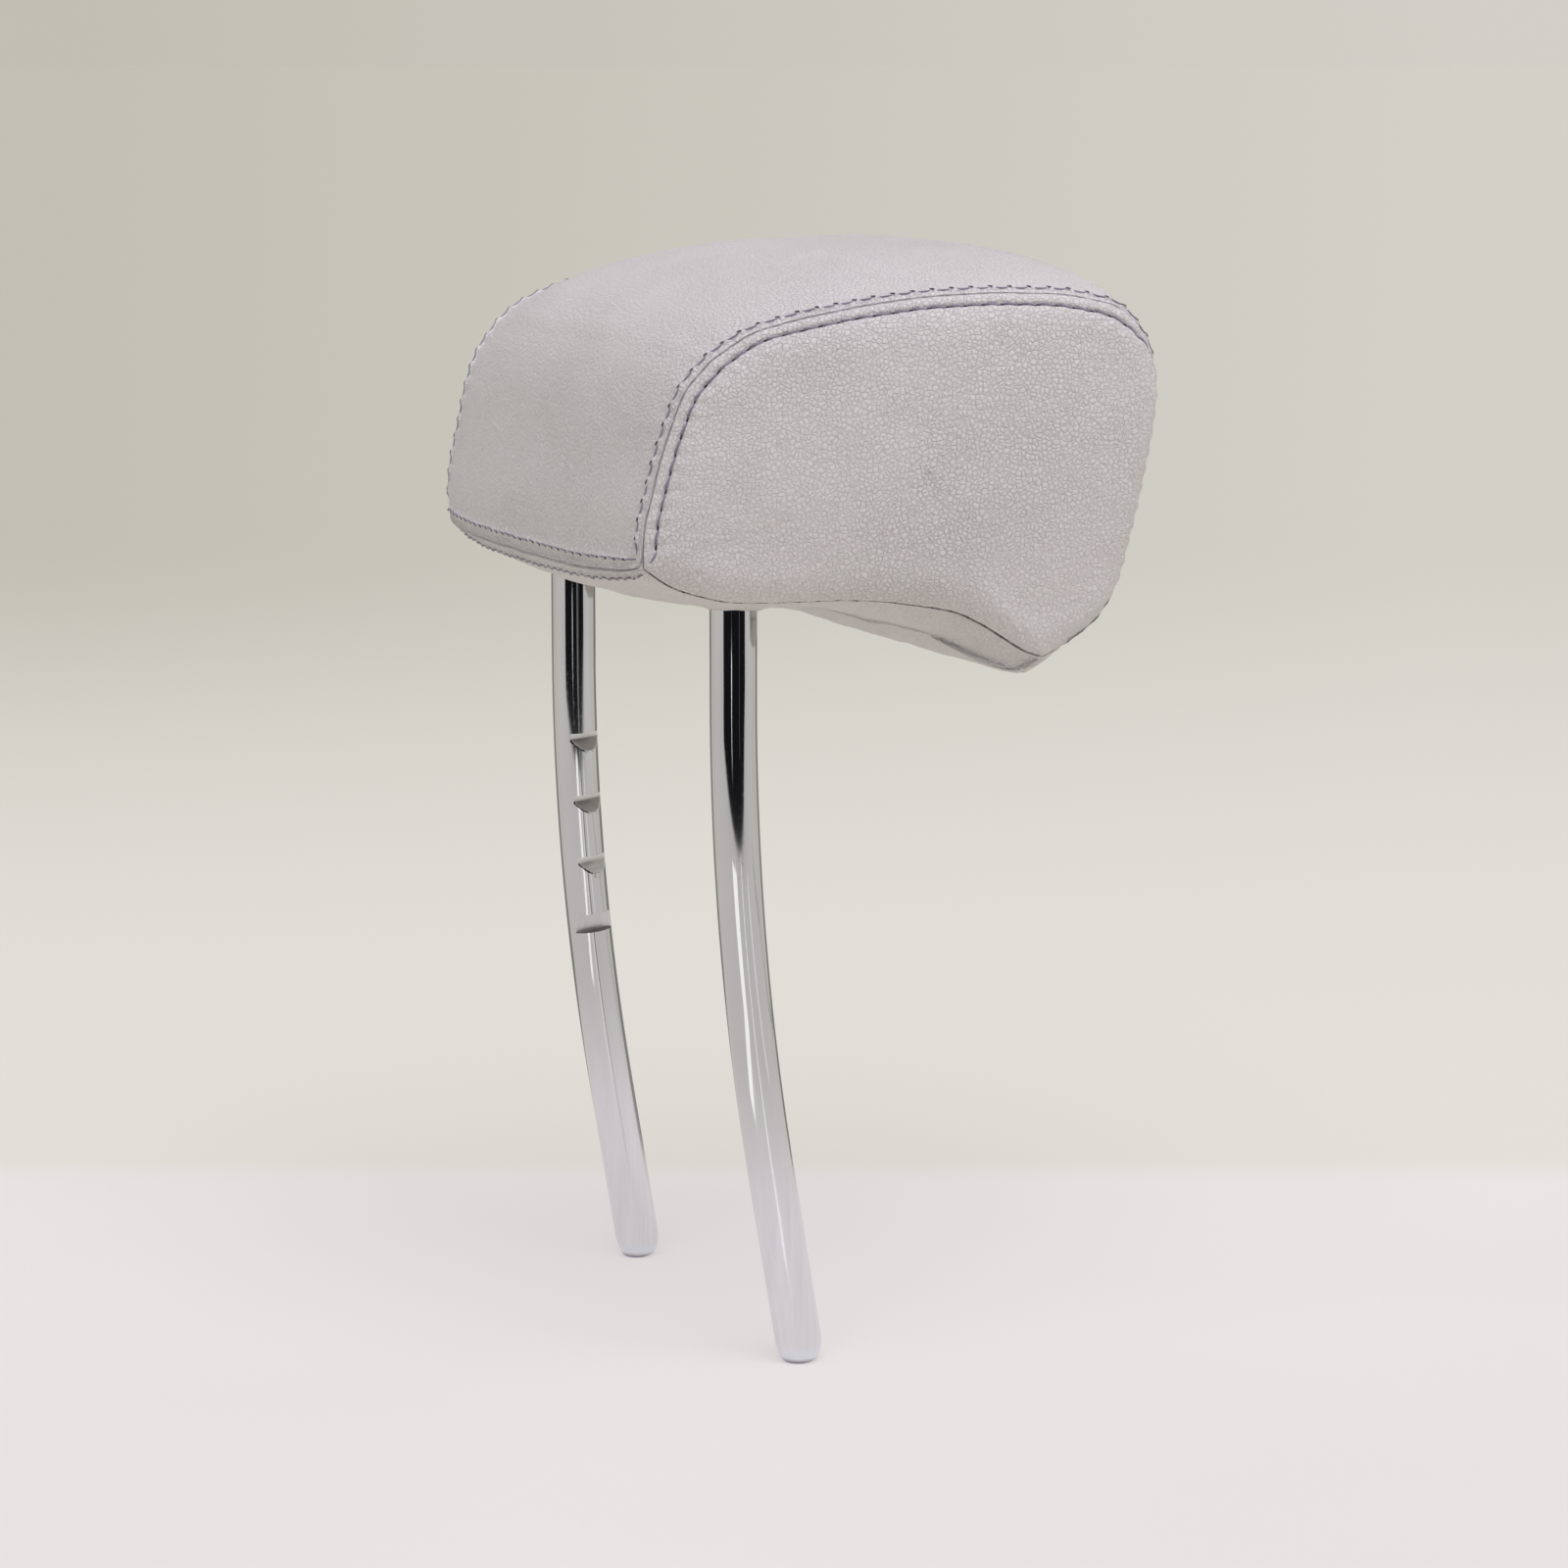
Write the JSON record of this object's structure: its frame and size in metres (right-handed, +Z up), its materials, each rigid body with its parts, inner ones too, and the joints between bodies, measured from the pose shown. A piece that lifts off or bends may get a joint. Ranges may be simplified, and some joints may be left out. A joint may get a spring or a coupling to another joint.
{
  "type": "car seat headrest",
  "caption": "Car seat headrest: a stuffed leather pad with top-stitched seams on a bent chrome U post frame with height notches.",
  "frame": {"origin": "midway between the two post tips, where the seat back's guides hold the posts", "axes": "+Z up along the upper posts, -Y to the front (the side the head leans on), +Y to the rear, +X across the seat"},
  "size_m": [0.2444, 0.1708, 0.3347],
  "materials": {
    "chrome": "polished chrome plating",
    "leather": "fine-grained pale lavender-grey leather",
    "foam": "moulded open-cell polyurethane foam",
    "plastic": "moulded black plastic",
    "zinc": "zinc-plated steel"
  },
  "bodies": {
    "root": {"post_frame": "chrome", "carrier_front": "plastic", "carrier_rear": "plastic", "carrier_screw_1": "zinc", "carrier_screw_2": "zinc", "carrier_screw_3": "zinc", "carrier_screw_4": "zinc", "foam_core": "foam", "cover_wrap_panel": "leather", "cover_left_side_panel": "leather", "cover_right_side_panel": "leather", "cover_bottom_front_panel": "leather", "cover_bottom_rear_panel": "leather", "closure_strip_front": "plastic", "closure_strip_rear": "plastic"}
  },
  "joints": []
}
